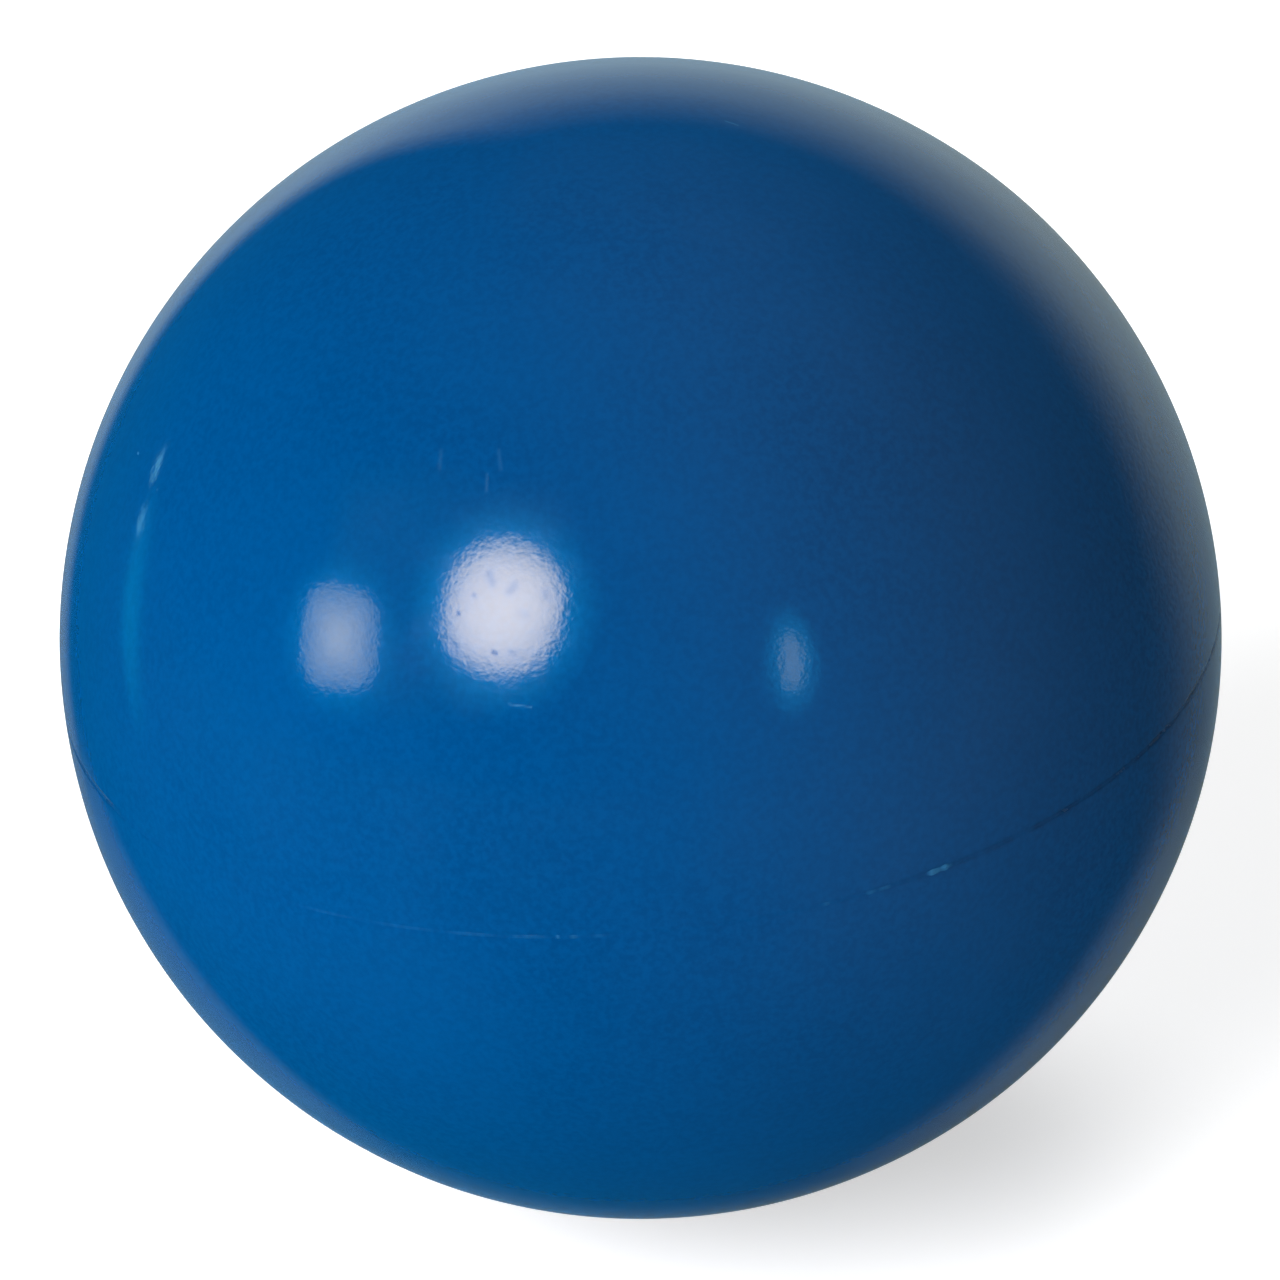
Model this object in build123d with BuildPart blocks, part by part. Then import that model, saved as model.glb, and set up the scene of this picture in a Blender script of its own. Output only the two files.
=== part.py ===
from build123d import *

import os
from math import asin, cos, degrees, pi, radians, sin, sqrt, tan

# Croquet ball, full size: a pressed cork-and-rubber core inside a hard plastic cover.
#
# The cover is moulded as two cups. They are closed over the core in a hot two-part press, where
# their plastic flows into the core's keying dimples and their rims fuse into one thin weld.
# The outer edge of that weld is the seam that runs round the ball.
#
# Frame: origin at the centre of the ball, seam in the XY plane, +Z through the upper cup's pole.
# Lengths are in millimetres and angles in degrees.

# Driving dimensions
BALL_DIAMETER = 92.1  # 3 5/8 in, the full-size ball
COVER_THICKNESS = 9.0
WELD_THICKNESS = 0.3  # the fused layer between the rims, and so the width of the seam

# The tongue that stands on the lower cup's rim and fits a groove in the upper cup's
TONGUE_WIDTH = 3.0  # at its root
TONGUE_HEIGHT = 3.0  # above the seam
TONGUE_DRAFT = 5.0
TONGUE_FILLET = 0.5

# The dimples that key the cover to the core: latitude and number in each ring.
# The rings are repeated below the seam, turned a quarter of a pitch.
KEY_RINGS = [(24.0, 10), (56.0, 6)]
KEY_DIAMETER = 9.0
KEY_DEPTH = 1.2

# Worked out from the driving dimensions
ball_radius = BALL_DIAMETER / 2
core_radius = ball_radius - COVER_THICKNESS
tongue_radius = (ball_radius + core_radius) / 2  # to the middle of the tongue
half_weld = WELD_THICKNESS / 2
rim_radius = sqrt(ball_radius**2 - half_weld**2)  # where a rim meets the ball's surface
rim_angle = degrees(asin(half_weld / ball_radius))  # from the seam plane to a rim
inside_core = core_radius - 1  # where the weld's section starts, before the core is cut from it


def key_planes(distance):
    """A plane for each dimple, its origin at a distance from the ball's centre, X outwards."""
    planes = []
    for side, turn in ((1, 0.5), (-1, 0.25)):
        for latitude, count in KEY_RINGS:
            up = radians(side * latitude)
            for number in range(count):
                around = radians((number + turn) * 360 / count)
                outwards = Vector(cos(up) * cos(around), cos(up) * sin(around), sin(up))
                northwards = Vector(-sin(up) * cos(around), -sin(up) * sin(around), cos(up))
                planes.append(Plane(outwards * distance, x_dir=outwards, z_dir=northwards))
    return planes


def tongue_outline(foot, gap):
    """A tongue's four corners, from the outer foot inwards, grown by gap on every side."""
    half_foot = TONGUE_WIDTH / 2 + gap
    tip = TONGUE_HEIGHT + gap
    half_tip = half_foot - (tip - foot) * tan(radians(TONGUE_DRAFT))
    return [
        (tongue_radius + half_foot, foot),
        (tongue_radius + half_tip, tip),
        (tongue_radius - half_tip, tip),
        (tongue_radius - half_foot, foot),
    ]


def round_tip(section, radius):
    """Fillets the two corners at the tip of a tongue or groove in the sketch being drawn."""
    near_tip = section.vertices().filter_by_position(
        Axis.Y, TONGUE_HEIGHT - WELD_THICKNESS, TONGUE_HEIGHT + 2 * WELD_THICKNESS
    )
    fillet(near_tip, radius)


# The core: a pressed ball of cork granules and rubber, with its keying dimples.
# Each dimple is cut by a sphere that meets the core in a circle of KEY_DIAMETER.
key_floor = core_radius - KEY_DEPTH
key_sag = sqrt(core_radius**2 - (KEY_DIAMETER / 2) ** 2) - key_floor
cutter_radius = ((KEY_DIAMETER / 2) ** 2 + key_sag**2) / (2 * key_sag)
with BuildPart() as core:
    Sphere(core_radius)
    with Locations(*key_planes(key_floor + cutter_radius)):
        Sphere(cutter_radius, mode=Mode.SUBTRACT)
core.part.label = "core"

# The lower cup, with the tongue on its rim
with BuildPart() as lower_cover:
    with BuildSketch(Plane.XZ) as lower_section:
        with BuildLine():
            CenterArc((0, 0), ball_radius, -90, 90 - rim_angle)
            Polyline(
                (rim_radius, -half_weld),
                *tongue_outline(-half_weld, 0),
                (0, -half_weld),
                (0, -ball_radius),
            )
        make_face()
        round_tip(lower_section, TONGUE_FILLET)
    revolve(axis=Axis.Z)
    add(core.part, mode=Mode.SUBTRACT)
lower_cover.part.label = "lower_cover"

# The upper cup, with the groove in its rim
with BuildPart() as upper_cover:
    with BuildSketch(Plane.XZ) as upper_section:
        with BuildLine():
            CenterArc((0, 0), ball_radius, rim_angle, 90 - rim_angle)
            Polyline(
                (rim_radius, half_weld),
                *tongue_outline(half_weld, WELD_THICKNESS),
                (0, half_weld),
                (0, ball_radius),
            )
        make_face()
        round_tip(upper_section, TONGUE_FILLET + WELD_THICKNESS)
    revolve(axis=Axis.Z)
    add(core.part, mode=Mode.SUBTRACT)
upper_cover.part.label = "upper_cover"

# The weld: what fills the space between the two rims, from the core to the ball's surface
with BuildPart() as seam_weld:
    with BuildSketch(Plane.XZ) as weld_section:
        with BuildLine():
            CenterArc((0, 0), ball_radius, -rim_angle, 2 * rim_angle)
            Polyline(
                (rim_radius, half_weld),
                *tongue_outline(half_weld, WELD_THICKNESS),
                (inside_core, half_weld),
                (inside_core, -half_weld),
                (rim_radius, -half_weld),
            )
        make_face()
        round_tip(weld_section, TONGUE_FILLET + WELD_THICKNESS)
    revolve(axis=Axis.Z)
    add(core.part, mode=Mode.SUBTRACT)
    add(lower_cover.part, mode=Mode.SUBTRACT)
seam_weld.part.label = "seam_weld"

os.makedirs("parts", exist_ok=True)
for piece in (core, lower_cover, upper_cover, seam_weld):
    export_step(piece.part, f"parts/{piece.part.label}.step")

total = sum(piece.part.volume for piece in (core, lower_cover, upper_cover, seam_weld))
print("filled share of the ball:", total / (4 / 3 * pi * ball_radius**3))
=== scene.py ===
import math

import bmesh
import bpy
import numpy as np
from mathutils import Matrix, Vector


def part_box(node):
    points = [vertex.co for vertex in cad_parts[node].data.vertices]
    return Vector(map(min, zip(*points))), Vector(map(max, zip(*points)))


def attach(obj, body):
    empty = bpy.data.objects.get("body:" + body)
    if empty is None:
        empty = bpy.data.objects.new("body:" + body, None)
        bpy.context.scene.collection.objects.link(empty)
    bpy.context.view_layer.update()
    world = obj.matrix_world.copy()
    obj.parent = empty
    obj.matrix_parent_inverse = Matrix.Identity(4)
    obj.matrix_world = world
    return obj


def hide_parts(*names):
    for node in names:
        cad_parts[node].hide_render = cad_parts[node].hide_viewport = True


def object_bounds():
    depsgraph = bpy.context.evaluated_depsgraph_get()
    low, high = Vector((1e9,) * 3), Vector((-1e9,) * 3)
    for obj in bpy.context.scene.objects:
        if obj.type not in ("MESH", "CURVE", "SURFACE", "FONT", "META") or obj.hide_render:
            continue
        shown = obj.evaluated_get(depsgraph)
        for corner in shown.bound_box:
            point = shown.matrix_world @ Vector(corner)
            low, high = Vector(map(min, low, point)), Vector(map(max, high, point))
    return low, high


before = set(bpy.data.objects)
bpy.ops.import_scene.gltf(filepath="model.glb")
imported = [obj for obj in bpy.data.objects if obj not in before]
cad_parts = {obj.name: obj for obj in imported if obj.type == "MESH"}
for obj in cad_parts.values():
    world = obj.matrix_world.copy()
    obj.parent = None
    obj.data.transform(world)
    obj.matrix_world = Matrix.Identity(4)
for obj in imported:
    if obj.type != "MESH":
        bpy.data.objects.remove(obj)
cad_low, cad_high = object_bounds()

# The croquet ball's looks: two moulded cups, the weld between them with the flash left on it,
# and the cork-and-rubber core. The shapes below are worked out in millimetres about the ball's
# centre, with the seam in the XY plane, and become metres when a mesh is made.
MM = 0.001

# From the frame
BALL_RADIUS = (cad_high.z - cad_low.z) / 2 / MM
CORE_RADIUS = (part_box("core")[1].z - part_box("core")[0].z) / 2 / MM

# The joint between the cups, as in the CAD
WELD_THICKNESS = 0.3
TONGUE_WIDTH = 3.0
TONGUE_HEIGHT = 3.0
TONGUE_DRAFT = math.radians(5)
TONGUE_FILLET = 0.5
KEY_RINGS = [(24.0, 10), (56.0, 6)]  # latitude and number of dimples in each ring
KEY_DIAMETER = 9.0
KEY_DEPTH = 1.2

HALF_WELD = WELD_THICKNESS / 2
TONGUE_RADIUS = (BALL_RADIUS + CORE_RADIUS) / 2

# The camera, by the ball it sees
CAMERA_ELEVATION = math.radians(29)  # above the seam's plane
CAMERA_ROLL = math.radians(-5.9)
CAMERA_DISTANCE = 20  # in ball radii: a long lens, from nearly a metre
BALL_FILLS = 0.908  # the ball's share of the picture's width
CAMERA_SHIFT = (-0.0005, -0.0016)
SENSOR = 36.0

# Fineness of the meshes
CAP_CELLS = 176  # cells along each side of the grid that wraps a cup
CAP_GAP = 2.7  # from the rim to that grid, filled by rings
EDGE_RINGS = [0.0, 0.03, 0.07, 0.12, 0.19, 0.3, 0.48, 0.75, 1.2, 1.9]  # their distances from the rim
RIM_STEP = 0.15  # from the outer skin in to the first ring on the rim's flat face
INNER_GAP = 0.5  # from the rim to the grid on the cup's inner face
WELD_CELLS = 1440  # cells round the weld
WELD_ROWS = 13  # rows of points across the weld's outer face
TONGUE_BENDS = 5  # points round each of the tongue's two corners
FINE_CUTS = 5  # cuts in each cell that carries a mark
FINE_MARGIN = 0.6  # how far past a mark's edge the cells are cut
SKIN_DEPTH = 0.05  # points nearer the ball's surface than this are on the outer skin

# Marks on the cover: latitude and longitude in degrees of both ends, then the width and depth
# in millimetres, and how pale and how dull the plastic has gone, each from 0 to 1
MARKS = [
    (23.30, -104.3, 23.04, -101.9, 0.15, 0.004, 0.36, 0.4),  # a fresh scratch
    (46.9, -115.6, 45.2, -115.2, 0.50, 0.002, 0.08, 0.3),  # three dull streaks
    (47.4, -107.2, 45.6, -106.6, 0.45, 0.002, 0.08, 0.3),
    (45.0, -108.4, 43.4, -108.2, 0.35, 0.002, 0.10, 0.3),
    (35.6, -106.9, 34.6, -106.4, 0.95, 0.002, 0.0, 0.42),  # dull spots left by dust in the mould
    (33.9, -104.4, 34.5, -103.7, 1.00, 0.002, 0.0, 0.42),
    (33.8, -100.1, 33.4, -99.9, 1.25, 0.002, 0.0, 0.35),
    (33.4, -108.5, 33.4, -108.5, 0.70, 0.003, 0.0, 0.55),
    (31.6, -110.2, 31.6, -110.2, 0.50, 0.006, 0.0, 1.0),
    (28.1, -106.0, 28.0, -105.7, 0.50, 0.005, 0.0, 0.9),
    (28.0, -104.0, 27.9, -103.7, 0.80, 0.002, 0.0, 0.3),
    (31.9, -103.0, 31.6, -102.2, 1.00, 0.002, 0.0, 0.3),
    (28.6, -110.6, 28.2, -110.2, 0.90, 0.002, 0.0, 0.3),
]
LONGEST_MARK = 6.0  # no part of a mark is further than this from its start

# More marks, strewn over the rest of the cover
MORE_DENTS = 18
MORE_SCRATCHES = 9
MORE_LATITUDES = (-0.97, 0.97)  # sines
MORE_LONGITUDES = (-40, 220)
DENT_WIDTHS = (0.3, 0.6)
DENT_REACHES = (0.0, 0.6)
DENT_DEPTHS = (0.004, 0.012)
DENT_DULLNESS = 0.8
SCRATCH_WIDTH = 0.18
SCRATCH_REACHES = (1.0, 3.0)
SCRATCH_DEPTH = 0.006
SCRATCH_PALENESS = (0.2, 0.6)
SCRATCH_DULLNESS = 0.5

# Unevenness of the moulding: height, number of waves, and shortest and longest wavelength
SWELLS = [(0.0045, 40, 9.0, 22.0), (0.0008, 60, 3.2, 6.0)]

# Flash on the weld: longitude and half length in degrees, height and lean in millimetres
FLASH = [
    (-62.4, 0.75, 0.12, 0.08),
    (-63.6, 0.85, 0.13, -0.04),
    (-69.0, 0.6, 0.05, 0.02),
    (-70.4, 0.5, 0.05, -0.04),
    (-75.0, 0.4, 0.03, 0.02),
    (-99.2, 0.5, 0.03, -0.02),
    (-100.7, 0.20, 0.08, 0.03),
    (-96.8, 0.9, 0.015, 0.0),  # a low ridge that shows as a faint line
    (-103.6, 1.9, 0.022, 0.0),
    (-109.2, 2.4, 0.017, 0.0),
    (-116.0, 3.2, 0.012, 0.0),
    (-124.2, 2.8, 0.010, 0.0),
]

# More flash, round the rest of the seam
MORE_FLASH = 26
MORE_FLASH_LONGITUDES = (5, 175)
MORE_FLASH_LENGTHS = (0.2, 1.3)
MORE_FLASH_HEIGHTS = (0.03, 0.12)
MORE_FLASH_LEANS = (-0.05, 0.05)

# How open the seam's groove is, from 0 for closed to 1, by longitude in degrees
SEAM_OPENNESS = [
    (-180, 0.5), (-168, 0.8), (-159, 0.5), (-152, 0.05), (-140, 0.02), (-120, 0.02), (-105, 0.05),
    (-92, 0.02), (-80, 0.04), (-72, 0.14), (-66, 0.3), (-55, 0.42), (-40, 0.6), (-22, 0.75), (0, 0.6),
    (30, 0.25), (55, 0.65), (90, 0.8), (120, 0.3), (150, 0.55),
]
LEAST_OPEN = 0.02
OPENNESS_RIPPLE = 0.25  # as a share of the openness
GROOVE_DEPTH = 0.035  # where the seam is open
GROOVE_SIDE = 0.10  # how far from the rim the cover's edge is worn down
CREASE_SIDE = 0.20  # how far from the rim the crease's painted shade reaches
CUP_STEP = 0.0015  # by which one cup stands above the other here and there
CUP_STEP_SIDE = 0.9  # how far from the rim that step fades away
WELD_CREST = 0.001  # the weld's height above the ball where the seam is closed
WELD_EDGE_DROP = 0.002  # how far the weld's edges lie below it there, and what an open seam adds
WELD_OPEN_DROP = 0.05


def camera_axes():
    """The camera's right, up and backward directions."""
    back = Vector((0, -math.cos(CAMERA_ELEVATION), math.sin(CAMERA_ELEVATION)))
    level_up = Vector((0, math.sin(CAMERA_ELEVATION), math.cos(CAMERA_ELEVATION)))
    level_right = Vector((1, 0, 0))
    right = level_right * math.cos(CAMERA_ROLL) + level_up * math.sin(CAMERA_ROLL)
    up = level_up * math.cos(CAMERA_ROLL) - level_right * math.sin(CAMERA_ROLL)
    return right, up, back


RIGHT, UP, BACK = camera_axes()


def toward(sideways, upward, backward):
    """A direction from the ball, told as the camera sees it."""
    return (RIGHT * sideways + UP * upward + BACK * backward).normalized()


def waves(points, count, shortest, longest, seed):
    """Smooth bumps of height about 1: plane waves in random directions, by wavelength in mm."""
    draw = np.random.default_rng(seed)
    headings = draw.normal(size=(count, 3))
    headings /= np.linalg.norm(headings, axis=1)[:, None]
    lengths = np.exp(draw.uniform(math.log(shortest), math.log(longest), count))
    phases = draw.uniform(0, 2 * math.pi, count)
    total = np.zeros(len(points))
    for heading, length, phase in zip(headings, lengths, phases):
        total += np.cos(points @ heading * (2 * math.pi / length) + phase)
    return total * math.sqrt(2 / count)


def ripple(longitudes, count, fewest, most, seed):
    """A smooth curve of height about 1 round the seam, from whole numbers of waves."""
    draw = np.random.default_rng(seed)
    total = np.zeros(len(longitudes))
    for turns, phase in zip(draw.integers(fewest, most, count), draw.uniform(0, 2 * math.pi, count)):
        total += np.cos(longitudes * turns + phase)
    return total * math.sqrt(2 / count)


def openness(longitudes):
    """How open the seam is, from 0 to about 1, at each longitude in radians."""
    places, amounts = zip(*SEAM_OPENNESS)
    smooth_part = np.interp(np.degrees(longitudes), places, amounts, period=360)
    uneven = 1 + OPENNESS_RIPPLE * ripple(longitudes, 20, 15, 120, 21)
    return np.clip(smooth_part * uneven, LEAST_OPEN, None)


def on_sphere(latitude, longitude):
    """The unit vector at a latitude and longitude in degrees."""
    up, around = math.radians(latitude), math.radians(longitude)
    return np.array([math.cos(up) * math.cos(around), math.cos(up) * math.sin(around), math.sin(up)])


def all_marks():
    """The listed marks, and as many more dents and scratches strewn over the rest of the cover."""
    draw = np.random.default_rng(11)
    marks = list(MARKS)
    for number in range(MORE_DENTS + MORE_SCRATCHES):
        latitude = math.degrees(math.asin(draw.uniform(*MORE_LATITUDES)))
        longitude = draw.uniform(*MORE_LONGITUDES)
        width = draw.uniform(*DENT_WIDTHS)
        heading = draw.uniform(0, math.pi)
        if number < MORE_DENTS:
            reach = draw.uniform(*DENT_REACHES)
            looks = (width, draw.uniform(*DENT_DEPTHS), 0.0, DENT_DULLNESS)
        else:
            reach = draw.uniform(*SCRATCH_REACHES)
            looks = (SCRATCH_WIDTH, SCRATCH_DEPTH, draw.uniform(*SCRATCH_PALENESS), SCRATCH_DULLNESS)
        step = math.degrees(reach / BALL_RADIUS)
        end_latitude = latitude + step * math.sin(heading)
        end_longitude = longitude + step * math.cos(heading) / math.cos(math.radians(latitude))
        marks.append((latitude, longitude, end_latitude, end_longitude, *looks))
    return marks


ALL_MARKS = all_marks()


def distance_to_mark(points, mark):
    """From each point on the ball to the mark's middle line, in mm."""
    start, end = on_sphere(*mark[:2]) * BALL_RADIUS, on_sphere(*mark[2:4]) * BALL_RADIUS
    run = end - start
    share = np.clip((points - start) @ run / max(run @ run, 1e-9), 0, 1)
    return np.linalg.norm(points - start - share[:, None] * run, axis=1)


def relief(points):
    """How far the cover stands off a true ball, and how pale and how dull it is, at each point."""
    height, paleness, dullness = np.zeros((3, len(points)))
    for seed, (size, count, shortest, longest) in enumerate(SWELLS, start=1):
        height += size * waves(points, count, shortest, longest, seed)
    for mark in ALL_MARKS:
        width, depth, pale, dull = mark[4:]
        reach = distance_to_mark(points, mark) / (width / 2)
        height -= depth * np.clip(1 - reach**2, 0, 1) ** 2
        paleness = np.maximum(paleness, pale * np.clip(1.15 - reach, 0, 1))
        dullness = np.maximum(dullness, dull * np.exp(-((reach / 0.85) ** 2)))
    return height, paleness, dullness


def lip_drop(longitudes, away, side):
    """How far the cover's edge is worn down, at a distance from the rim along the surface."""
    depth = GROOVE_DEPTH * openness(longitudes)
    step = CUP_STEP * ripple(longitudes, 6, 1, 6, 25) * side
    return depth * np.exp(-((away / GROOVE_SIDE) ** 2)) + step * np.exp(-((away / CUP_STEP_SIDE) ** 2))


class Skin:
    """Vertices and faces as they are added, in millimetres."""

    def __init__(self):
        self.points, self.faces, self.count = [], [], 0

    def add(self, points):
        """Adds the points and returns their numbers."""
        first = self.count
        self.points.append(np.asarray(points, float))
        self.count += len(points)
        return np.arange(first, self.count)

    def bridge(self, one, other):
        """Quads between two rings of the same length."""
        self.faces += np.stack([one, np.roll(one, -1), np.roll(other, -1), other], 1).tolist()

    def make(self, name, flip=False):
        """The mesh object, in metres."""
        mesh = bpy.data.meshes.new(name)
        faces = [face[::-1] for face in self.faces] if flip else self.faces
        mesh.from_pydata((np.concatenate(self.points) * MM).tolist(), [], faces)
        mesh.validate()
        piece = bpy.data.objects.new(name, mesh)
        bpy.context.scene.collection.objects.link(piece)
        return piece


def cap_grid():
    """A square grid pressed into a disc: each point's share of the way out and its angle,
    the grid's faces, and its edge as a ring."""
    across = np.linspace(-1, 1, CAP_CELLS + 1)
    a, b = (grid.ravel() for grid in np.meshgrid(across, across, indexing="ij"))
    wide = np.abs(a) >= np.abs(b)
    outwards = np.where(wide, a, b)
    safe = np.where(outwards == 0, 1, outwards)
    quarter = math.pi / 4
    angles = np.where(wide, quarter * b / safe, 2 * quarter - quarter * a / safe)
    angles = np.where(outwards < 0, angles + math.pi, angles)
    number = np.arange(len(a)).reshape(CAP_CELLS + 1, CAP_CELLS + 1)
    corners = [number[:-1, :-1], number[1:, :-1], number[1:, 1:], number[:-1, 1:]]
    faces = np.stack([corner.ravel() for corner in corners], 1)
    edge = np.concatenate([number[-1, :-1], number[:0:-1, -1], number[0, :0:-1], number[:-1, 0]])
    return np.abs(outwards), angles, faces, edge


def lug_radius(directions):
    """Distance from the ball's centre to the cover's inner face, with its lugs in the core's dimples."""
    floor = CORE_RADIUS - KEY_DEPTH
    sag = math.sqrt(CORE_RADIUS**2 - (KEY_DIAMETER / 2) ** 2) - floor
    lug = ((KEY_DIAMETER / 2) ** 2 + sag**2) / (2 * sag)
    radius = np.full(len(directions), CORE_RADIUS)
    for side, turn in ((1, 0.5), (-1, 0.25)):
        for latitude, count in KEY_RINGS:
            for number in range(count):
                centre = on_sphere(side * latitude, (number + turn) * 360 / count) * (floor + lug)
                along = directions @ centre
                inside = lug**2 - centre @ centre + along**2
                near = along - np.sqrt(np.clip(inside, 0, None))
                radius = np.where((inside > 0) & (along > 0), np.minimum(radius, near), radius)
    return radius


def tongue_line(foot, gap):
    """Points down one side of the tongue, round its tip and up the other, from the outside in."""
    fillet = TONGUE_FILLET + gap
    tip = TONGUE_HEIGHT + gap
    half_tip = TONGUE_WIDTH / 2 + gap - (tip - foot) * math.tan(TONGUE_DRAFT)
    half_foot = TONGUE_WIDTH / 2 + gap
    turn = np.linspace(TONGUE_DRAFT, math.pi / 2, TONGUE_BENDS)
    bend_r = half_tip - fillet * (1 - np.sin(TONGUE_DRAFT)) + fillet * (np.cos(turn) - np.sin(TONGUE_DRAFT))
    bend_z = tip - fillet + fillet * np.sin(turn)
    half = [(half_foot, foot)] + list(zip(bend_r, bend_z))
    outer = [(TONGUE_RADIUS + r, z) for r, z in half]
    inner = [(TONGUE_RADIUS - r, z) for r, z in half[::-1]]
    return outer + inner


def ring(longitudes, radius, height):
    """A ring of points by longitude; radius and height may be one number or one for each."""
    radius, height = np.broadcast_to(radius, longitudes.shape), np.broadcast_to(height, longitudes.shape)
    return np.stack([radius * np.cos(longitudes), radius * np.sin(longitudes), height], 1)


def build_cup(name, side):
    """One cup of the cover. Side is 1 for the upper cup and -1 for the lower."""
    skin = Skin()
    share, angles, grid_faces, edge = cap_grid()
    longitudes = angles[edge]
    rim_angle = math.asin(HALF_WELD / BALL_RADIUS)
    cap_angle = math.pi / 2 - rim_angle - CAP_GAP / BALL_RADIUS

    def directions(colatitudes, around):
        """Unit vectors by angle from the cup's pole and by longitude."""
        flat = np.sin(colatitudes)
        return np.stack([flat * np.cos(around), flat * np.sin(around), side * np.cos(colatitudes)], 1)

    outer = skin.add(directions(share * cap_angle, angles) * BALL_RADIUS)
    skin.faces += outer[grid_faces].tolist()
    previous = outer[edge]
    for away in EDGE_RINGS[::-1]:
        colatitudes = np.full(len(edge), math.pi / 2 - rim_angle - away / BALL_RADIUS)
        row = skin.add(directions(colatitudes, longitudes) * BALL_RADIUS)
        skin.bridge(row, previous)
        previous = row
    if side > 0:
        line = tongue_line(HALF_WELD, WELD_THICKNESS)
    else:
        line = tongue_line(-HALF_WELD, 0)
    inner_start = math.sqrt(CORE_RADIUS**2 - HALF_WELD**2)
    flat = side * HALF_WELD
    for radius, height in [(BALL_RADIUS - RIM_STEP, flat), *line, (inner_start, flat)]:
        row = skin.add(ring(longitudes, radius, height))
        skin.bridge(row, previous)
        previous = row
    inner_angle = math.pi / 2 - math.asin(HALF_WELD / CORE_RADIUS) - INNER_GAP / CORE_RADIUS
    inner_directions = directions(share * inner_angle, angles)
    inner = skin.add(inner_directions * lug_radius(inner_directions)[:, None])
    skin.bridge(inner[edge], previous)
    skin.faces += inner[grid_faces][:, ::-1].tolist()
    piece = skin.make(name, flip=side < 0)
    refine_marks(piece)
    press_relief(piece, side)
    return piece


def refine_marks(piece):
    """Cuts the cells that carry a mark into finer ones, so that the mark has a real shape."""
    shape = bmesh.new()
    shape.from_mesh(piece.data)
    shape.faces.ensure_lookup_table()
    centres = np.array([face.calc_center_median() for face in shape.faces]) / MM
    outside = np.linalg.norm(centres, axis=1) > BALL_RADIUS - SKIN_DEPTH
    chosen = np.zeros(len(centres), bool)
    for mark in ALL_MARKS:
        near = np.linalg.norm(centres - on_sphere(*mark[:2]) * BALL_RADIUS, axis=1) < LONGEST_MARK
        index = np.nonzero(near & outside)[0]
        if len(index):
            chosen[index] |= distance_to_mark(centres[index], mark) < mark[4] + FINE_MARGIN
    edges = {edge for number in np.nonzero(chosen)[0] for edge in shape.faces[number].edges}
    bmesh.ops.subdivide_edges(shape, edges=list(edges), cuts=FINE_CUTS, use_grid_fill=True)
    bmesh.ops.triangulate(shape, faces=[face for face in shape.faces if len(face.verts) > 4])
    shape.to_mesh(piece.data)
    shape.free()


def press_relief(piece, side):
    """Moves the outer skin's points to the cover's real surface and notes how worn each one is."""
    count = len(piece.data.vertices)
    points = np.zeros(count * 3)
    piece.data.vertices.foreach_get("co", points)
    points = points.reshape(-1, 3) / MM
    lengths = np.linalg.norm(points, axis=1)
    skin = lengths > BALL_RADIUS - SKIN_DEPTH
    directions = points[skin] / lengths[skin][:, None]
    height, paleness, dullness = relief(directions * BALL_RADIUS)
    longitudes = np.arctan2(directions[:, 1], directions[:, 0])
    away = np.clip(np.abs(np.arcsin(directions[:, 2])) * BALL_RADIUS - HALF_WELD, 0, None)
    drop = lip_drop(longitudes, away, side)
    points[skin] = directions * (BALL_RADIUS + height - drop)[:, None]
    piece.data.vertices.foreach_set("co", (points * MM).ravel())
    # crease: where the material paints shade into the open seam's groove
    crease = np.exp(-((away / CREASE_SIDE) ** 2)) * np.clip(openness(longitudes), 0, 1)
    for name, amount in (("wear", paleness), ("dull", dullness), ("crease", crease)):
        values = np.zeros(count)
        values[skin] = amount
        note(piece, name, values)
    smooth(piece)


def note(piece, name, values):
    """Stores a number on each of the mesh's points, for its material."""
    values = np.asarray(values, np.float32)
    piece.data.attributes.new(name, "FLOAT", "POINT").data.foreach_set("value", values)


def smooth(piece):
    """Smooth shading, with the true corners kept sharp."""
    piece.data.polygons.foreach_set("use_smooth", [True] * len(piece.data.polygons))
    piece.data.set_sharp_from_angle(angle=math.radians(50))
    piece.data.update()


def all_flash():
    """The listed flash, and more of it here and there round the rest of the seam."""
    draw = np.random.default_rng(5)
    flash = list(FLASH)
    for _ in range(MORE_FLASH):
        flash.append((
            draw.uniform(*MORE_FLASH_LONGITUDES),
            draw.uniform(*MORE_FLASH_LENGTHS),
            draw.uniform(*MORE_FLASH_HEIGHTS),
            draw.uniform(*MORE_FLASH_LEANS),
        ))
    return flash


def flash_round_seam(longitudes):
    """The flash's height and sideways lean at each longitude, in mm."""
    height, lean = np.zeros((2, len(longitudes)))
    ragged = 1 + 0.3 * ripple(longitudes, 12, 200, 420, 33)
    for longitude, half_length, tallest, sideways in all_flash():
        apart = (np.degrees(longitudes) - longitude + 180) % 360 - 180
        bump = np.clip(1 - (apart / half_length) ** 2, 0, 1) ** 0.7
        height = np.maximum(height, tallest * bump * ragged)
        lean += sideways * bump
    return height, lean


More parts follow.
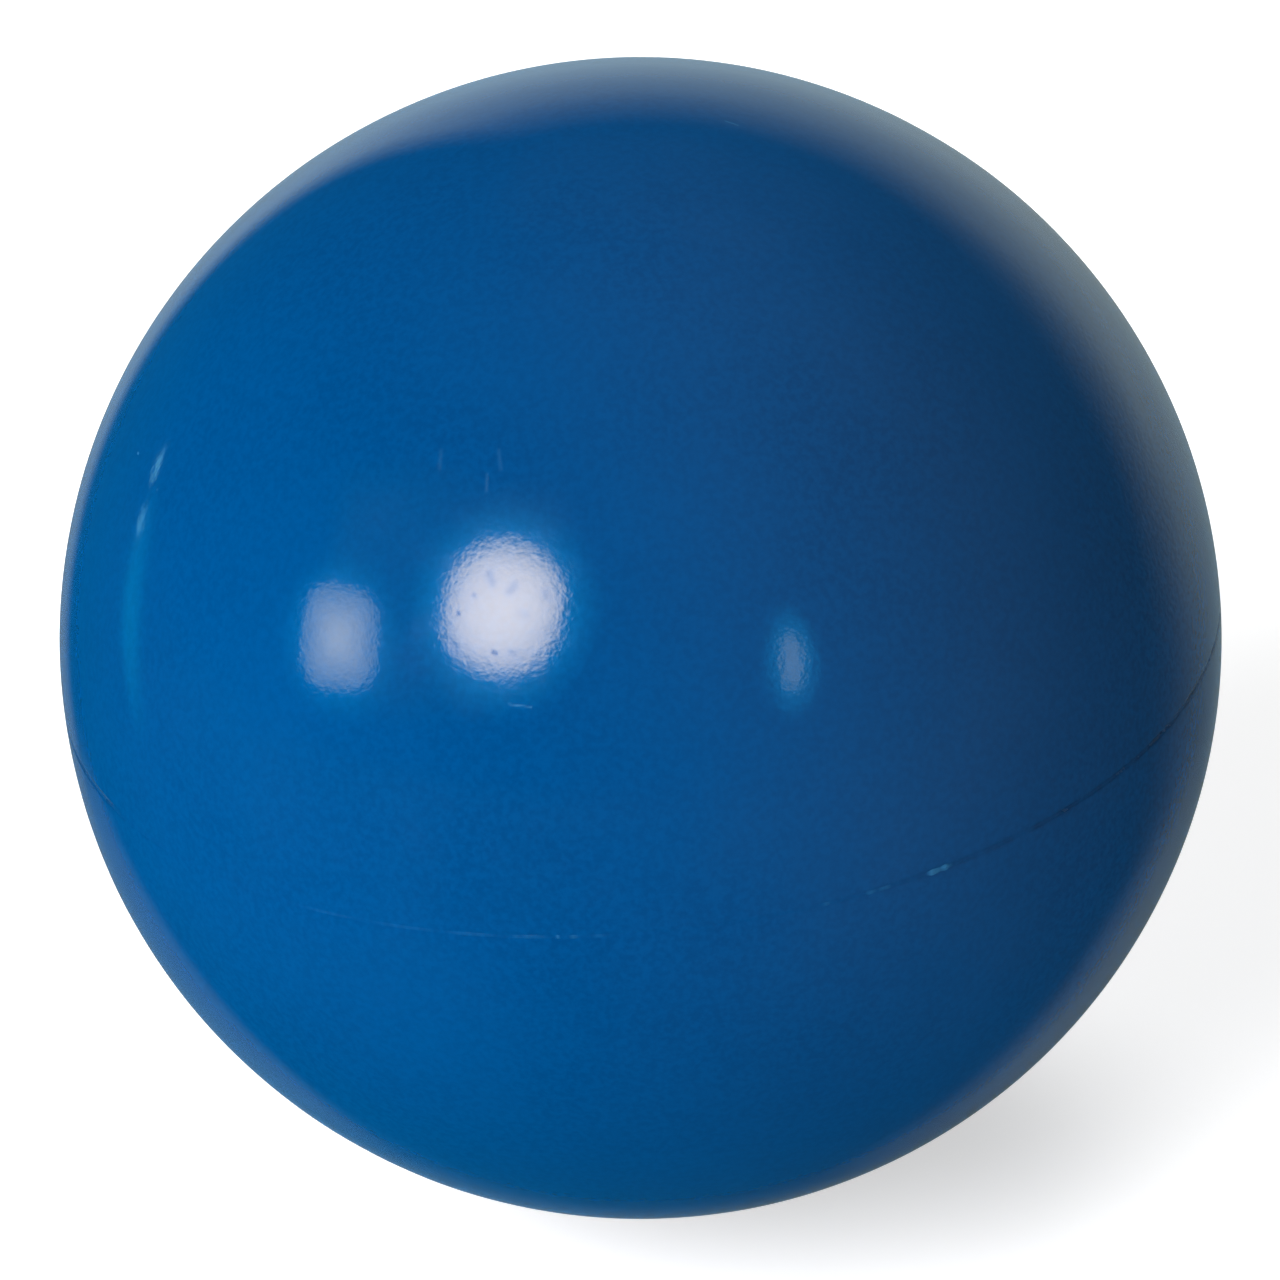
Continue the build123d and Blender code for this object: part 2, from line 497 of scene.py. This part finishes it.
def build_weld():
    """The weld: its face in the seam, with the flash, and the hidden layer between the rims."""
    skin = Skin()
    longitudes = np.linspace(0, 2 * math.pi, WELD_CELLS, endpoint=False)
    open_here = openness(longitudes)
    uneven = ripple(longitudes, 30, 60, 260, 32)
    crest = WELD_CREST - 0.9 * GROOVE_DEPTH * open_here + WELD_CREST * uneven
    flash, lean = flash_round_seam(longitudes)
    spread = 1 + 1.2 * np.clip(flash / HALF_WELD, 0, 1)
    rows = []
    for across in np.linspace(-1, 1, WELD_ROWS):
        dome = 1 - across**2
        height = across * HALF_WELD * np.where(abs(across) < 1, spread, 1) + lean * dome
        edge_drop = (WELD_EDGE_DROP + WELD_OPEN_DROP * open_here) * (1 - dome) ** 4
        radius = BALL_RADIUS + crest * dome**0.5 + flash * dome**1.5 - edge_drop
        rows.append(skin.add(ring(longitudes, np.sqrt(radius**2 - height**2), height)))
    for radius, height in tongue_line(HALF_WELD, WELD_THICKNESS):
        rows.append(skin.add(ring(longitudes, radius, height)))
    for height in (HALF_WELD, -HALF_WELD):
        rows.append(skin.add(ring(longitudes, math.sqrt(CORE_RADIUS**2 - HALF_WELD**2), height)))
    for radius, height in tongue_line(-HALF_WELD, 0)[::-1]:
        rows.append(skin.add(ring(longitudes, radius, height)))
    for one, other in zip(rows, rows[1:] + rows[:1]):
        skin.bridge(one, other)
    piece = skin.make("seam_weld_with_flash")
    hidden = np.zeros(WELD_CELLS * (len(rows) - WELD_ROWS))
    # wear pales the flash; crease marks where the seam is open, for painted shade and duller gloss
    for name, amount in (("wear", np.clip(flash / 0.25, 0, 0.5)), ("crease", np.clip(open_here, 0, 1))):
        note(piece, name, np.concatenate([np.tile(amount, WELD_ROWS), hidden]))
    smooth(piece)
    return piece


def new_material(name):
    """An empty node material: the material, its nodes, its links and its shader."""
    material = bpy.data.materials.new(name)
    material.use_nodes = True
    nodes, links = material.node_tree.nodes, material.node_tree.links
    return material, nodes, links, nodes["Principled BSDF"]


def noise(nodes, links, where, scale, detail=3.0, roughness=0.55):
    """Noise by position, with its scale in bumps per metre."""
    node = nodes.new("ShaderNodeTexNoise")
    node.inputs["Scale"].default_value = scale
    node.inputs["Detail"].default_value = detail
    node.inputs["Roughness"].default_value = roughness
    links.new(where.outputs["Object"], node.inputs["Vector"])
    return node.outputs["Fac"]


def spread_to(nodes, links, value, low, high, new_low, new_high):
    """A value's range, stretched from low..high to new_low..new_high."""
    node = nodes.new("ShaderNodeMapRange")
    links.new(value, node.inputs["Value"])
    for socket, number in zip(("From Min", "From Max", "To Min", "To Max"), (low, high, new_low, new_high)):
        node.inputs[socket].default_value = number
    return node.outputs["Result"]


def calculate(nodes, links, operation, *values):
    """One sum, each value a socket or a number."""
    node = nodes.new("ShaderNodeMath")
    node.operation = operation
    for socket, value in zip(node.inputs, values):
        if isinstance(value, (int, float)):
            socket.default_value = value
        else:
            links.new(value, socket)
    return node.outputs[0]


def blend_colours(nodes, links, share, one, other):
    """A mix of two colours, each a socket or four numbers, by a share socket."""
    node = nodes.new("ShaderNodeMix")
    node.data_type = "RGBA"
    links.new(share, node.inputs[0])
    for socket, colour in ((6, one), (7, other)):
        if isinstance(colour, tuple):
            node.inputs[socket].default_value = colour
        else:
            links.new(colour, node.inputs[socket])
    return node.outputs[2]


def levels(nodes, links, value, reach, stops):
    """A level that follows a value within -reach..reach, from a list of values and levels."""
    ramp = nodes.new("ShaderNodeValToRGB")
    links.new(calculate(nodes, links, "MULTIPLY_ADD", value, 0.5 / reach, 0.5), ramp.inputs[0])
    while len(ramp.color_ramp.elements) < len(stops):
        ramp.color_ramp.elements.new(0.5)
    for element, (place, level) in zip(ramp.color_ramp.elements, stops):
        element.position = place / reach / 2 + 0.5
        element.color = (level, level, level, 1)
    return ramp.outputs[0]


def attribute(nodes, name):
    """A number stored on the mesh's points."""
    node = nodes.new("ShaderNodeAttribute")
    node.attribute_name = name
    return node.outputs["Fac"]


def raised(nodes, links, height, depth, below=None):
    """A bump of a depth in metres, over another bump."""
    node = nodes.new("ShaderNodeBump")
    node.inputs["Distance"].default_value = depth
    links.new(height, node.inputs["Height"])
    if below is not None:
        links.new(below, node.inputs["Normal"])
    return node.outputs["Normal"]


# The ball's plastic
PLASTIC_IOR = 1.45
BLUE_LIGHT = (0.0, 0.050, 0.176, 1)
BLUE_DEEP = (0.0, 0.043, 0.155, 1)
BLUE_SPECK = (0.0, 0.062, 0.212, 1)
BLUE_WORN = (0.035, 0.20, 0.40, 1)
# A darker blue: random dark spots on the coarser side, and painted shade in the open seam's crease
BLUE_SPOT_AND_CREASE_SHADE = (0.0, 0.018, 0.065, 1)
SHEEN_TINT = (0.0, 0.35, 0.8, 1)
SHEEN_WEIGHT = 0.25
SHEEN_ROUGHNESS = 0.4
WELD_SPECULAR = 0.3
COVER_CREASE_SHADE = 0.5  # the most painted shade darkening a crease of the cover, and on the weld
WELD_CREASE_SHADE = 0.6
COARSE_SIDE = Vector((0.91, 0.30, -0.28))  # toward the middle of the side where the skin is coarser
COARSE_START = 0.3  # where along that direction it starts and is full, in ball radii
COARSE_FULL = 0.75
COARSE_RIPPLES = 4.0  # how much deeper its ripples are

# Depths of the bumps, in metres
PEEL_DEPTH = 4e-6
RIPPLE_DEPTH = 5e-6
GRAIN_DEPTH = 1.5e-6
WELD_RIPPLE_DEPTH = 6e-6
GRANULE_DEPTH = 2e-4

# The core's cork granules and the rubber between them
CORK_DARK = (0.16, 0.085, 0.04, 1)
CORK_LIGHT = (0.36, 0.22, 0.11, 1)
RUBBER = (0.03, 0.022, 0.018, 1)
GRANULE_SCALE = 420


def coarse_side(nodes, links, where):
    """From 0 to 1 toward the ball's coarser side."""
    node = nodes.new("ShaderNodeVectorMath")
    node.operation = "DOT_PRODUCT"
    links.new(where.outputs["Object"], node.inputs[0])
    node.inputs[1].default_value = COARSE_SIDE
    start, full = COARSE_START * BALL_RADIUS * MM, COARSE_FULL * BALL_RADIUS * MM
    return spread_to(nodes, links, node.outputs["Value"], start, full, 0, 1)


def blue_colour(nodes, links, where, most_painted_shade):
    """The plastic's blue: clouded, speckled, spotted on the coarser side, darkened in the seam's
    crease with painted shade, and pale where it is worn."""
    clouds = spread_to(nodes, links, noise(nodes, links, where, 55, 2.0), 0.3, 0.7, 0, 1)
    cloudy = blend_colours(nodes, links, clouds, BLUE_DEEP, BLUE_LIGHT)
    specks = spread_to(nodes, links, noise(nodes, links, where, 1800, 2.0), 0.35, 0.65, 0, 0.6)
    speckled = blend_colours(nodes, links, specks, cloudy, BLUE_SPECK)
    spots = spread_to(nodes, links, noise(nodes, links, where, 2200, 1.0), 0.42, 0.62, 0, 0.5)
    spots_here = calculate(nodes, links, "MULTIPLY", spots, coarse_side(nodes, links, where))
    spotted = blend_colours(nodes, links, spots_here, speckled, BLUE_SPOT_AND_CREASE_SHADE)
    # Painted shade: the open seam's crease is darkened toward the deep blue, where shade falls in the
    # groove
    painted_shade = calculate(nodes, links, "MULTIPLY", attribute(nodes, "crease"), most_painted_shade)
    shaded_blue = blend_colours(nodes, links, painted_shade, spotted, BLUE_SPOT_AND_CREASE_SHADE)
    return blend_colours(nodes, links, attribute(nodes, "wear"), shaded_blue, BLUE_WORN)


def set_plastic(shader):
    """The numbers that all the blue plastic shares."""
    shader.inputs["IOR"].default_value = PLASTIC_IOR
    shader.inputs["Sheen Weight"].default_value = SHEEN_WEIGHT
    shader.inputs["Sheen Roughness"].default_value = SHEEN_ROUGHNESS
    shader.inputs["Sheen Tint"].default_value = SHEEN_TINT


def cover_plastic():
    """Hard glossy blue plastic, with the fine orange peel of its mould and a little wear."""
    material, nodes, links, shader = new_material("cover_plastic")
    where = nodes.new("ShaderNodeTexCoord")
    # the blue carries painted shade in the seam's crease
    links.new(blue_colour(nodes, links, where, COVER_CREASE_SHADE), shader.inputs["Base Color"])
    gloss = spread_to(nodes, links, noise(nodes, links, where, 120, 4.0), 0.3, 0.75, 0.05, 0.08)
    smears = spread_to(nodes, links, noise(nodes, links, where, 420, 5.0), 0.5, 0.75, 0, 0.03)
    smeared = calculate(nodes, links, "ADD", gloss, smears)
    dulled = calculate(nodes, links, "MULTIPLY_ADD", attribute(nodes, "dull"), 0.3, smeared)
    links.new(dulled, shader.inputs["Roughness"])
    set_plastic(shader)
    coarse = coarse_side(nodes, links, where)
    coarseness = calculate(nodes, links, "MULTIPLY_ADD", coarse, COARSE_RIPPLES, 1.0)
    ripples = calculate(nodes, links, "MULTIPLY", noise(nodes, links, where, 2200, 1.0), coarseness)
    peeled = raised(nodes, links, noise(nodes, links, where, 900, 2.0), PEEL_DEPTH)
    rippled = raised(nodes, links, ripples, RIPPLE_DEPTH, peeled)
    grained = raised(nodes, links, noise(nodes, links, where, 4300, 0.5), GRAIN_DEPTH, rippled)
    links.new(grained, shader.inputs["Normal"])
    return material


def weld_plastic():
    """The same plastic where it was squeezed out and trimmed: duller, and darkened with painted shade where
    it is open.
    """
    material, nodes, links, shader = new_material("weld_plastic")
    where = nodes.new("ShaderNodeTexCoord")
    # the blue carries painted shade where the seam is open
    links.new(blue_colour(nodes, links, where, WELD_CREASE_SHADE), shader.inputs["Base Color"])
    gloss = spread_to(nodes, links, noise(nodes, links, where, 2500, 3.0), 0.3, 0.7, 0.05, 0.12)
    dulled = calculate(nodes, links, "MULTIPLY_ADD", attribute(nodes, "crease"), 0.25, gloss)
    links.new(dulled, shader.inputs["Roughness"])
    set_plastic(shader)
    shader.inputs["Specular IOR Level"].default_value = WELD_SPECULAR
    rippled = raised(nodes, links, noise(nodes, links, where, 2200, 2.0), WELD_RIPPLE_DEPTH)
    links.new(rippled, shader.inputs["Normal"])
    return material


def cork_rubber():
    """Cork granules of several browns pressed in dark rubber."""
    material, nodes, links, shader = new_material("cork_rubber")
    where = nodes.new("ShaderNodeTexCoord")
    granules = nodes.new("ShaderNodeTexVoronoi")
    granules.inputs["Scale"].default_value = GRANULE_SCALE
    links.new(where.outputs["Object"], granules.inputs["Vector"])
    shade = nodes.new("ShaderNodeSeparateColor")
    links.new(granules.outputs["Color"], shade.inputs[0])
    browns = blend_colours(nodes, links, shade.outputs[0], CORK_DARK, CORK_LIGHT)
    binder = spread_to(nodes, links, granules.outputs["Distance"], 0.45, 0.75, 0, 1)
    links.new(blend_colours(nodes, links, binder, browns, RUBBER), shader.inputs["Base Color"])
    gloss = spread_to(nodes, links, noise(nodes, links, where, 800, 3.0), 0.3, 0.7, 0.7, 0.92)
    links.new(gloss, shader.inputs["Roughness"])
    hollows = spread_to(nodes, links, granules.outputs["Distance"], 0.2, 0.8, 1, 0)
    links.new(raised(nodes, links, hollows, GRANULE_DEPTH), shader.inputs["Normal"])
    return material


def make_camera():
    """A long lens at the photograph's angle, on the ball's centre."""
    camera = bpy.data.objects.new("camera", bpy.data.cameras.new("camera"))
    bpy.context.scene.collection.objects.link(camera)
    turn = Matrix((RIGHT, UP, BACK)).transposed().to_4x4()
    camera.matrix_world = Matrix.Translation(BACK * BALL_RADIUS * MM * CAMERA_DISTANCE) @ turn
    camera.data.sensor_width = SENSOR
    camera.data.lens = SENSOR / 2 * BALL_FILLS * math.sqrt(CAMERA_DISTANCE**2 - 1)
    camera.data.shift_x, camera.data.shift_y = CAMERA_SHIFT
    camera.data.clip_start = 0.05
    bpy.context.scene.camera = camera


LAMP_DISTANCE = 1.2  # from the ball, in metres
LAMP_STEP = 0.01  # each lamp that shows is this much nearer than the last, so that none hides another


def add_light(name, direction, width, height, radiance, turn=0.0, distance=LAMP_DISTANCE):
    """A lamp panel facing the ball. Its width and height are angles, in degrees, seen from the ball."""
    light = bpy.data.lights.new(name, "AREA")
    light.shape = "RECTANGLE"
    light.size = 2 * distance * math.tan(math.radians(width / 2))
    light.size_y = 2 * distance * math.tan(math.radians(height / 2))
    light.energy = radiance * light.size * light.size_y * math.pi
    lamp = bpy.data.objects.new(name, light)
    bpy.context.scene.collection.objects.link(lamp)
    across = UP.cross(direction).normalized()
    along = direction.cross(across)
    facing = Matrix((across, along, direction)).transposed().to_4x4()
    turned = Matrix.Rotation(math.radians(turn), 4, "Z")
    lamp.matrix_world = Matrix.Translation(direction * distance) @ facing @ turned
    lamp.visible_camera = False
    return lamp


def shape_light(lamp, profile, squareness):
    """Gives a lamp a rounded glow, from its level by distance from the middle, 1 being the edge.
    Squareness is 2 for an oval, and more toward a rectangle."""
    lamp.data.use_nodes = True
    nodes, links = lamp.data.node_tree.nodes, lamp.data.node_tree.links
    place = nodes.new("ShaderNodeNewGeometry")
    split = nodes.new("ShaderNodeSeparateXYZ")
    links.new(place.outputs["Parametric"], split.inputs[0])
    across = calculate(nodes, links, "MULTIPLY_ADD", split.outputs[0], 2.0, -1.0)
    along = calculate(nodes, links, "MULTIPLY_ADD", split.outputs[1], 2.0, -1.0)
    parts = [
        calculate(nodes, links, "POWER", calculate(nodes, links, "ABSOLUTE", value), squareness)
        for value in (across, along)
    ]
    reach = calculate(nodes, links, "POWER", calculate(nodes, links, "ADD", *parts), 1 / squareness)
    links.new(levels(nodes, links, reach, FARTHEST_REACH, profile), nodes["Emission"].inputs["Strength"])


# Levels of a lamp by distance from its middle, 1 being its edge
FARTHEST_REACH = 1.5  # more than the distance to its corners
KEY_PROFILE = [
    (0, 1.0), (0.4, 0.90), (0.6, 0.76), (0.72, 0.62), (0.82, 0.44), (0.92, 0.16), (1.0, 0),
]
SIDE_PROFILE = [(0, 1.0), (0.3, 0.79), (0.5, 0.58), (0.7, 0.41), (0.85, 0.26), (1.0, 0)]
STRIP_PROFILE = [(0, 1.0), (0.6, 0.85), (1.0, 0)]
SOFT_PROFILE = [(0, 1.0), (0.5, 0.6), (1.0, 0)]
HALO_PROFILE = [(0, 1.0), (0.6, 0.92), (0.68, 0.70), (0.76, 0.42), (0.88, 0.15), (1.0, 0)]
FAINT_HALO_PROFILE = [(0, 1.0), (0.5, 0.95), (0.75, 0.5), (1.0, 0)]

# Lamps that show in the ball: name, direction as the camera sees it, width, height and turn in
# degrees, radiance, colour, profile, squareness
SHOWN_LAMPS = [
    ("key", (-0.444, 0.095, 0.890), 26, 27.4, -13, 19.6, (1, 0.775, 0.49), KEY_PROFILE, 2.2),
    ("key_halo", (-0.444, 0.095, 0.890), 40, 42, -13, 5.6, (0, 0.47, 1), HALO_PROFILE, 2.0),
    ("side", (-0.866, 0.0, 0.50), 18.5, 18.5, -5, 7.9, (1, 0.83, 0.45), SIDE_PROFILE, 3.2),
    ("side_halo", (-0.866, 0.0, 0.50), 29.6, 29.6, -5, 3.0, (0, 0.50, 1), HALO_PROFILE, 2.0),
    ("strip", (0.482, -0.075, 0.873), 5.4, 12, 6, 2.1, (0.95, 0.78, 0.45), STRIP_PROFILE, 3.0),
    ("strip_halo", (0.482, -0.075, 0.873), 12, 22, 6, 3.6, (0, 0.47, 1), FAINT_HALO_PROFILE, 2.0),
    ("streak", (-0.880, 0.049, -0.472), 10, 28, 0, 1.25, (0, 0.6, 1), SOFT_PROFILE, 2.0),
    ("high_glint", (-0.821, 0.292, -0.491), 2.4, 5.0, 6, 3.5, (0.26, 0.85, 1), SOFT_PROFILE, 2.0),
    ("low_glint", (-0.848, 0.198, -0.491), 2.6, 4.0, 4, 2.6, (0.26, 0.85, 1), SOFT_PROFILE, 2.0),
]

# Lamps that light the ball: name, direction, width and height in degrees, radiance
FILL_LAMPS = [
    ("left_fill", (-0.645, 0.14, 0.75), 44, 40, 8.7),
    ("back_fill", (0.065, 0.97, -0.18), 40, 30, 4.4),
]


def make_lights():
    """Panels that show in the ball but don't light it, and soft fills that light it but don't show."""
    for number, row in enumerate(SHOWN_LAMPS):
        name, place, width, height, turn, radiance, colour, profile, squareness = row
        distance = LAMP_DISTANCE - LAMP_STEP * number
        lamp = add_light(name, toward(*place), width, height, radiance, turn, distance)
        lamp.data.color = colour
        shape_light(lamp, profile, squareness)
        lamp.visible_diffuse = False
    for name, place, width, height, radiance in FILL_LAMPS:
        lamp = add_light(name, toward(*place), width, height, radiance)
        lamp.visible_glossy = False


# The backdrop, by the angle in degrees from the middle of the view beyond the ball
BACKDROP_WIDTH = [(-25.5, 0), (-18.5, 1), (38, 1), (62, 0)]
BACKDROP_HEIGHT = [(-33, 0), (-23, 1), (42, 1), (58, 0)]
BACKDROP_GLOW = [
    (-26, 0.04), (-18, 0.08), (-10, 0.13), (-4, 0.16), (2, 0.24), (8, 0.36), (14, 0.43), (20, 0.55),
    (30, 0.59), (42, 0.49),
]
BACKDROP_TINT = (0.88, 1.0, 0.90, 1)

# Two dim patches low on it, each by how nearly a direction points at its middle
LEFT_PATCH_PLACE = (-0.35, -0.28, -0.9)
LEFT_PATCH = [(0.975, 0), (0.99, 0.13)]
RIGHT_PATCH_PLACE = (0.44, -0.27, -1.0)
RIGHT_PATCH = [(0.930, 0), (0.956, 0.05), (0.978, 0.13), (0.996, 0.20)]

# The room round the camera, by how far a direction leans to the upper right and toward the camera
ROOM_LEAN = (0.93, 0.36, 0)
ROOM_GLOW = [(-0.5, 0.0), (0.0, 0.09), (0.45, 0.20), (0.8, 0.24)]
ROOM_DEPTH = [(-0.6, 0.2), (-0.16, 0.5), (0.3, 1.0)]

SEEN_BACKGROUND = (0.955, 0.955, 0.955, 1)


def leaning(nodes, links, where, axis):
    """How far each direction of the world leans along an axis, from -1 to 1."""
    node = nodes.new("ShaderNodeVectorMath")
    node.operation = "DOT_PRODUCT"
    links.new(where.outputs["Generated"], node.inputs[0])
    node.inputs[1].default_value = axis
    return node.outputs["Value"]


def turned_from_view(nodes, links, where, axis):
    """The angle in degrees from the middle of the view toward an axis."""
    forward = leaning(nodes, links, where, -BACK)
    turn = calculate(nodes, links, "ARCTAN2", leaning(nodes, links, where, axis), forward)
    return calculate(nodes, links, "MULTIPLY", turn, math.degrees(1))


def surroundings(nodes, links, where):
    """The level of light from each direction: the backdrop, its two patches and the room."""
    sideways = turned_from_view(nodes, links, where, RIGHT)
    upward = turned_from_view(nodes, links, where, UP)
    across = levels(nodes, links, sideways, 180, BACKDROP_WIDTH)
    along = levels(nodes, links, upward, 180, BACKDROP_HEIGHT)
    backdrop = calculate(nodes, links, "MULTIPLY", across, along)
    far = levels(nodes, links, upward, 180, BACKDROP_GLOW)
    far_glow = calculate(nodes, links, "MULTIPLY", far, backdrop)
    lean = levels(nodes, links, leaning(nodes, links, where, toward(*ROOM_LEAN)), 1, ROOM_GLOW)
    depth = levels(nodes, links, leaning(nodes, links, where, BACK), 1, ROOM_DEPTH)
    room = calculate(nodes, links, "MULTIPLY", lean, depth)
    elsewhere = calculate(nodes, links, "SUBTRACT", 1.0, backdrop)
    glow = calculate(nodes, links, "ADD", far_glow, calculate(nodes, links, "MULTIPLY", room, elsewhere))
    for place, stops in ((LEFT_PATCH_PLACE, LEFT_PATCH), (RIGHT_PATCH_PLACE, RIGHT_PATCH)):
        patch = levels(nodes, links, leaning(nodes, links, where, toward(*place)), 1, stops)
        glow = calculate(nodes, links, "MAXIMUM", glow, patch)
    return glow


def make_world():
    """Dim surroundings, a pale backdrop behind the ball, and a plain pale background to look at."""
    world = bpy.data.worlds.new("studio")
    world.use_nodes = True
    bpy.context.scene.world = world
    nodes, links = world.node_tree.nodes, world.node_tree.links
    nodes.clear()
    where = nodes.new("ShaderNodeTexCoord")
    glow = surroundings(nodes, links, where)
    tinted = blend_colours(nodes, links, glow, (0, 0, 0, 1), BACKDROP_TINT)
    seen = nodes.new("ShaderNodeLightPath")
    colour = blend_colours(nodes, links, seen.outputs["Is Camera Ray"], tinted, SEEN_BACKGROUND)
    background = nodes.new("ShaderNodeBackground")
    links.new(colour, background.inputs["Color"])
    output = nodes.new("ShaderNodeOutputWorld")
    links.new(background.outputs[0], output.inputs["Surface"])
    world.cycles_visibility.diffuse = False


# The floor
FLOOR_REACH = 6000.0  # from the ball, in mm
FLOOR_DARK = (0.80, 0.80, 0.80, 1)
FLOOR_LIGHT = (0.82, 0.82, 0.82, 1)
GLOW_SPAN = (-0.02, -0.12)  # metres to the left or front, over which the light it gives the ball grows
LEFT_GLOW = 1.13
FRONT_GLOW = 0.44
FAR_SPAN = (0.28, 0.9)  # metres from the ball, over which what the camera sees brightens
SEEN_GLOW = (0.74, 1.14)


def floor_glow(nodes, links, where):
    """How strongly the floor shines: one strength for the camera, and another for the ball."""
    split = nodes.new("ShaderNodeSeparateXYZ")
    links.new(where.outputs["Object"], split.inputs[0])
    left_glow = spread_to(nodes, links, split.outputs[0], *GLOW_SPAN, 0, LEFT_GLOW)
    front_glow = spread_to(nodes, links, split.outputs[1], *GLOW_SPAN, 0, FRONT_GLOW)
    away = nodes.new("ShaderNodeVectorMath")
    away.operation = "LENGTH"
    links.new(where.outputs["Object"], away.inputs[0])
    seen = nodes.new("ShaderNodeLightPath")
    glow = nodes.new("ShaderNodeMix")
    links.new(seen.outputs["Is Camera Ray"], glow.inputs[0])
    links.new(calculate(nodes, links, "ADD", left_glow, front_glow), glow.inputs[2])
    links.new(spread_to(nodes, links, away.outputs["Value"], *FAR_SPAN, *SEEN_GLOW), glow.inputs[3])
    return glow.outputs[0]


def make_floor():
    """A wide pale floor under the ball, which brightens far off to meet the background."""
    skin = Skin()
    corners = [(-1, -1), (1, -1), (1, 1), (-1, 1)]
    numbers = skin.add([(x * FLOOR_REACH, y * FLOOR_REACH, -BALL_RADIUS) for x, y in corners])
    skin.faces.append(numbers.tolist())
    floor = skin.make("floor")
    material, nodes, links, shader = new_material("pale_floor")
    where = nodes.new("ShaderNodeTexCoord")
    colour = blend_colours(nodes, links, noise(nodes, links, where, 3, 2.0), FLOOR_DARK, FLOOR_LIGHT)
    links.new(colour, shader.inputs["Base Color"])
    shader.inputs["Roughness"].default_value = 0.9
    shader.inputs["Specular IOR Level"].default_value = 0.1
    links.new(colour, shader.inputs["Emission Color"])
    links.new(floor_glow(nodes, links, where), shader.inputs["Emission Strength"])
    floor.data.materials.append(material)
    floor.visible_glossy = False
    floor.visible_shadow = False


make_camera()
make_lights()
make_world()
make_floor()
bpy.context.scene.view_settings.view_transform = "Standard"

plastic = cover_plastic()
for cup_name, node_name, cup_side in (("upper_cup", "upper_cover", 1), ("lower_cup", "lower_cover", -1)):
    cup = build_cup(cup_name, cup_side)
    cup.data.materials.append(plastic)
    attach(cup, "root")
    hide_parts(node_name)

weld = build_weld()
weld.data.materials.append(weld_plastic())
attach(weld, "root")
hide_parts("seam_weld")

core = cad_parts["core"]
core.data.materials.clear()
core.data.materials.append(cork_rubber())
